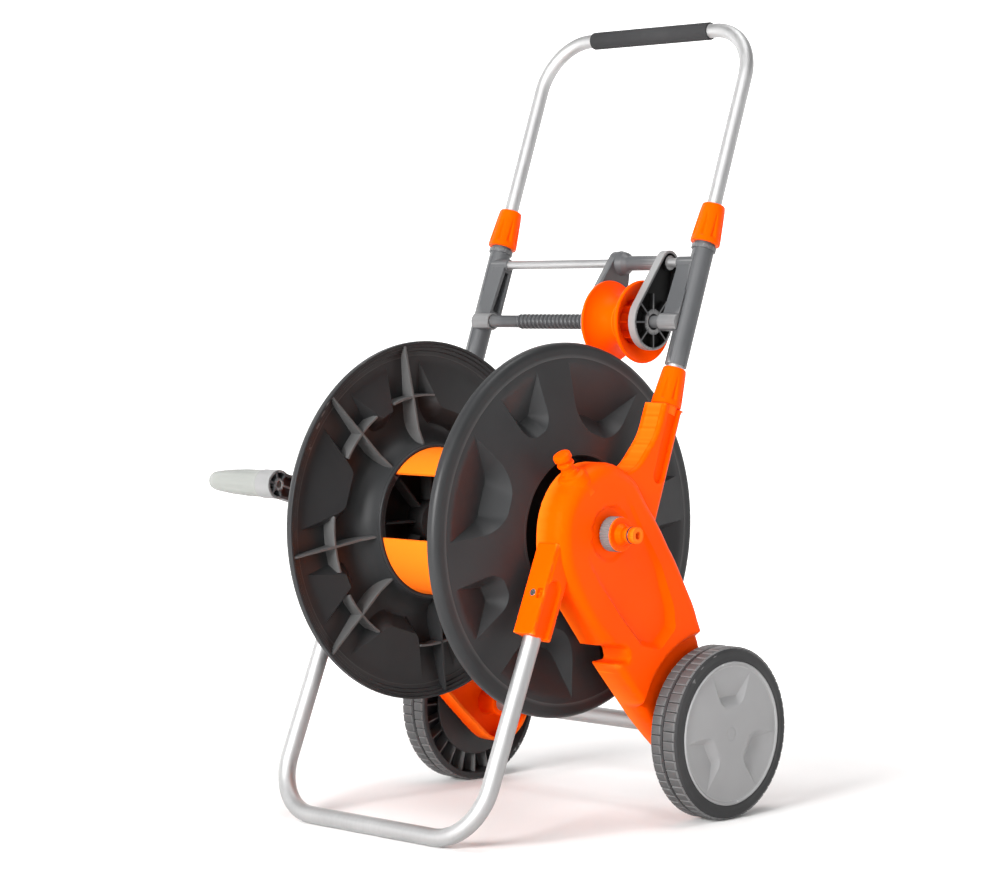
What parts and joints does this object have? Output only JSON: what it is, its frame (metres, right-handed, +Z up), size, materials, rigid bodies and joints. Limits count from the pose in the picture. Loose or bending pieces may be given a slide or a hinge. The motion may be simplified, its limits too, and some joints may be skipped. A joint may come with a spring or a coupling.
{
  "type": "garden hose reel cart",
  "caption": "Two-wheeled garden hose cart: dished drum between ribbed side panels, cranked by hand, with a tube leg, telescopic handle and a sliding roller hose guide.",
  "frame": {"origin": "middle of the overall box, on the ground", "axes": "+X along the drum axis towards the tap inlet, +Y towards the wheels and handle, +Z up"},
  "size_m": [0.5084, 0.4689, 0.8755],
  "materials": {
    "orange_plastic": "satin moulded polypropylene",
    "black_plastic": "fine-grained moulded polypropylene",
    "grey_plastic": "satin moulded plastic",
    "hubcap_plastic": "satin moulded plastic",
    "grip_plastic": "satin moulded plastic",
    "wheel_plastic": "blow-moulded plastic with a moulded tread",
    "aluminium_tube": "satin anodised",
    "steel": "zinc plated",
    "seal_rubber": "matt",
    "grip_foam": "closed-cell foam"
  },
  "bodies": {
    "frame": {"right_side_panel": "orange_plastic", "left_side_panel": "orange_plastic", "front_leg": "aluminium_tube", "leg_screws": "steel", "axle_tube": "aluminium_tube", "wheel_axle": "steel", "axle_push_nuts": "steel", "water_spindle": "black_plastic", "spindle_o_rings": "seal_rubber", "inlet_ring": "grey_plastic", "inlet_connector": "orange_plastic", "inlet_o_ring": "seal_rubber", "lower_collets": "grey_plastic"},
    "drum": {"right_flange": "black_plastic", "left_flange": "black_plastic", "upper_barrel_shell": "orange_plastic", "lower_barrel_shell": "orange_plastic", "drum_screws": "steel", "hose_outlet": "black_plastic", "crank_shaft": "black_plastic", "crank_arm": "grey_plastic", "crank_screw": "steel", "crank_pin": "steel"},
    "crank_grip": {"crank_grip": "grip_plastic"},
    "right_wheel": {"wheel_right": "wheel_plastic", "hubcap_right": "hubcap_plastic"},
    "left_wheel": {"wheel_left": "wheel_plastic", "hubcap_left": "hubcap_plastic"},
    "mast": {"mast_tube_right": "aluminium_tube", "mast_tube_left": "aluminium_tube", "mast_sleeve_right": "grey_plastic", "mast_sleeve_left": "grey_plastic", "guide_rod": "aluminium_tube", "guide_shaft": "grey_plastic", "upper_collets": "grey_plastic"},
    "hose_guide": {"guide_frame_left": "grey_plastic", "guide_frame_right": "grey_plastic"},
    "guide_roller": {"roller_half_right": "orange_plastic", "roller_half_left": "orange_plastic"},
    "handle": {"handle_tube": "aluminium_tube", "handle_grip": "grip_foam"},
    "lower_collar_right": {"lower_collar_right": "orange_plastic"},
    "lower_collar_left": {"lower_collar_left": "orange_plastic"},
    "upper_collar_right": {"upper_collar_right": "orange_plastic"},
    "upper_collar_left": {"upper_collar_left": "orange_plastic"}
  },
  "joints": [
    {"name": "drum_spin", "type": "hinge", "parent": "frame", "child": "drum", "pos_m": [0.04075, -0.03929, 0.317], "axis": [1, 0, 0], "continuous": true},
    {"name": "crank_grip_spin", "type": "hinge", "parent": "drum", "child": "crank_grip", "pos_m": [-0.19925, -0.18829, 0.35972], "axis": [1, 0, 0], "continuous": true},
    {"name": "wheel_right_spin", "type": "hinge", "parent": "frame", "child": "right_wheel", "pos_m": [0.23275, 0.11631, 0.094], "axis": [1, 0, 0], "continuous": true},
    {"name": "wheel_left_spin", "type": "hinge", "parent": "frame", "child": "left_wheel", "pos_m": [-0.15125, 0.11631, 0.094], "axis": [1, 0, 0], "continuous": true},
    {"name": "mast_slide", "type": "slide", "parent": "frame", "child": "mast", "axis": [0, 0.3387, 0.9409], "range_m": [0, 0.08]},
    {"name": "handle_slide", "type": "slide", "parent": "mast", "child": "handle", "axis": [0, 0.3387, 0.9409], "range_m": [-0.13, 0]},
    {"name": "guide_traverse", "type": "slide", "parent": "mast", "child": "hose_guide", "axis": [1, 0, 0], "range_m": [-0.155, 0.01]},
    {"name": "guide_roller_spin", "type": "hinge", "parent": "hose_guide", "child": "guide_roller", "pos_m": [0.11745, 0.0922, 0.53856], "axis": [1, 0, 0], "continuous": true},
    {"name": "lower_collar_right_twist", "type": "hinge", "parent": "frame", "child": "lower_collar_right", "pos_m": [0.19625, 0.0763, 0.46754], "axis": [0, 0.3387, 0.9409], "range_deg": [0, 90]},
    {"name": "upper_collar_right_twist", "type": "hinge", "parent": "mast", "child": "upper_collar_right", "pos_m": [0.19625, 0.13998, 0.64443], "axis": [0, 0.3387, 0.9409], "range_deg": [0, 90]},
    {"name": "lower_collar_left_twist", "type": "hinge", "parent": "frame", "child": "lower_collar_left", "pos_m": [-0.11475, 0.0763, 0.46754], "axis": [0, 0.3387, 0.9409], "range_deg": [0, 90]},
    {"name": "upper_collar_left_twist", "type": "hinge", "parent": "mast", "child": "upper_collar_left", "pos_m": [-0.11475, 0.13998, 0.64443], "axis": [0, 0.3387, 0.9409], "range_deg": [0, 90]}
  ]
}
